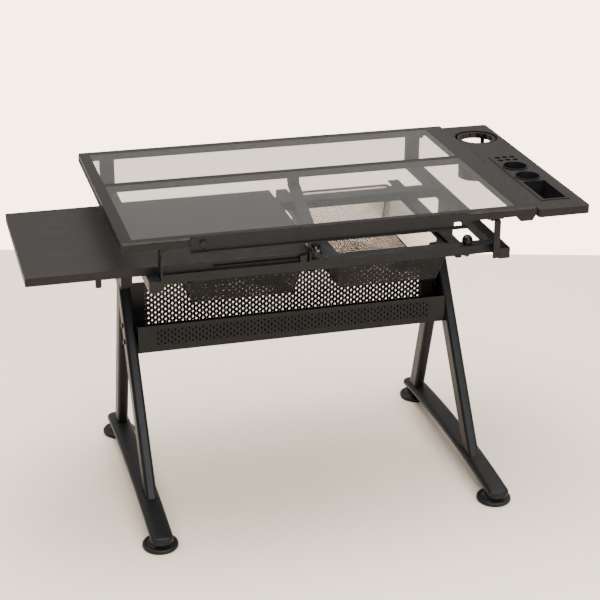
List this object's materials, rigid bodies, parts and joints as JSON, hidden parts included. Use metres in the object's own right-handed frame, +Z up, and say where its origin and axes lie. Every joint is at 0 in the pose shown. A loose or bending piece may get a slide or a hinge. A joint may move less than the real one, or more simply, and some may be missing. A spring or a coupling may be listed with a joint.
{
  "type": "drafting table",
  "caption": "Glass-topped drafting table with tilting top, sliding side board, cup and pen holder panel, pull-out mesh baskets and a perforated storage trough.",
  "frame": {"origin": "on the floor, under the centre of the table's bounding box with the side board out", "axes": "+X to the user's right, +Y to the back, +Z up"},
  "size_m": [1.2118, 0.669, 0.726],
  "materials": {
    "glass": "polished clear",
    "black_steel": "satin powder coat",
    "melamine": "matt dark melamine",
    "gloss_black": "gloss",
    "black_plastic": "satin",
    "foot_plastic": "fine grain",
    "mesh_steel": "satin powder coat",
    "bright_metal": "zinc plated"
  },
  "bodies": {
    "base": {"left_rail": "black_steel", "right_rail": "black_steel", "rail_end_plugs": "black_plastic", "front_crossbar": "black_steel", "mid_crossbar": "black_steel", "left_outer_slide": "black_steel", "left_inner_slide": "black_steel", "right_inner_slide": "black_steel", "right_outer_slide": "black_steel", "left_strap": "black_steel", "right_strap": "black_steel", "hinge_pins": "bright_metal", "strap_bolts": "black_steel", "left_rear_post": "black_steel", "right_rear_post": "black_steel", "board_guide": "black_steel", "clamp_bracket": "black_steel", "clamp_pin": "bright_metal", "left_leg_head": "black_steel", "right_leg_head": "black_steel", "left_front_leg": "black_steel", "right_front_leg": "black_steel", "left_rear_leg": "black_steel", "right_rear_leg": "black_steel", "left_foot_bar": "black_steel", "right_foot_bar": "black_steel", "storage_trough": "black_steel", "trough_bolts": "black_steel"},
    "tabletop": {"glass_top": "glass", "frame_left_bar": "black_steel", "frame_right_bar": "black_steel", "frame_front_bar": "black_steel", "frame_rear_bar": "black_steel", "mid_stretcher": "black_steel", "frame_end_plugs": "black_plastic", "hinge_leaves": "black_steel", "arm_mount": "black_steel", "support_arm": "black_steel", "side_panel": "melamine", "panel_brackets": "black_steel", "cup_ring": "gloss_black", "cup_bucket": "gloss_black", "corner_clip": "black_plastic"},
    "organizer": {"organizer_tray": "black_plastic"},
    "ledge": {"pencil_ledge": "black_steel"},
    "ledge_clamp": {"ledge_knob": "black_plastic"},
    "board": {"sliding_board": "melamine", "board_peg": "black_plastic"},
    "arm_swivel": {"arm_clamp": "bright_metal"},
    "arm_knob": {"clamp_knob": "black_plastic"},
    "locking_knob": {"lock_knob": "gloss_black"},
    "left_drawer": {"left_basket": "mesh_steel", "left_basket_rim": "mesh_steel"},
    "right_drawer": {"right_basket": "mesh_steel", "right_basket_rim": "mesh_steel"},
    "front_left_foot_body": {"front_left_foot": "foot_plastic"},
    "front_right_foot_body": {"front_right_foot": "foot_plastic"},
    "rear_left_foot_body": {"rear_left_foot": "foot_plastic"},
    "rear_right_foot_body": {"rear_right_foot": "foot_plastic"}
  },
  "joints": [
    {"name": "top_tilt", "type": "hinge", "parent": "base", "child": "tabletop", "pos_m": [0.0326, -0.2725, 0.694], "axis": [1, 0, 0], "range_deg": [0, 35]},
    {"name": "arm_swivel", "type": "hinge", "parent": "base", "child": "arm_swivel", "pos_m": [0.0326, -0.2535, 0.65], "axis": [1, 0, 0], "range_deg": [0, 35.2]},
    {"name": "arm_knob_turn", "type": "hinge", "parent": "arm_swivel", "child": "arm_knob", "pos_m": [0.0056, -0.2535, 0.65], "axis": [0, -0.102, 0.9948], "continuous": true},
    {"name": "board_slide", "type": "slide", "parent": "base", "child": "board", "axis": [1, 0, 0], "range_m": [0, 0.056]},
    {"name": "left_basket_slide", "type": "slide", "parent": "base", "child": "left_drawer", "axis": [0, -1, 0], "range_m": [0, 0.3]},
    {"name": "right_basket_slide", "type": "slide", "parent": "base", "child": "right_drawer", "axis": [0, -1, 0], "range_m": [0, 0.3]},
    {"name": "ledge_slide", "type": "slide", "parent": "tabletop", "child": "ledge", "axis": [0, 0, 1], "range_m": [0, 0.008]},
    {"name": "ledge_knob_turn", "type": "hinge", "parent": "tabletop", "child": "ledge_clamp", "pos_m": [-0.2489, -0.3105, 0.7114], "axis": [0, 1, 0], "continuous": true},
    {"name": "lock_knob_turn", "type": "hinge", "parent": "base", "child": "locking_knob", "pos_m": [0.3546, -0.2415, 0.626], "axis": [0, 0, 1], "continuous": true},
    {"name": "organizer_lift", "type": "slide", "parent": "tabletop", "child": "organizer", "axis": [0, 0, 1], "range_m": [0, 0.08]},
    {"name": "front_left_foot_turn", "type": "hinge", "parent": "base", "child": "front_left_foot_body", "pos_m": [-0.3534, -0.2945, 0], "axis": [0, 0, 1], "continuous": true},
    {"name": "front_right_foot_turn", "type": "hinge", "parent": "base", "child": "front_right_foot_body", "pos_m": [0.4336, -0.2945, 0], "axis": [0, 0, 1], "continuous": true},
    {"name": "rear_left_foot_turn", "type": "hinge", "parent": "base", "child": "rear_left_foot_body", "pos_m": [-0.3534, 0.2525, 0], "axis": [0, 0, 1], "continuous": true},
    {"name": "rear_right_foot_turn", "type": "hinge", "parent": "base", "child": "rear_right_foot_body", "pos_m": [0.4336, 0.2525, 0], "axis": [0, 0, 1], "continuous": true}
  ],
  "couplings": [
    {"joint": "arm_swivel", "follows": "top_tilt", "ratio": 1}
  ]
}
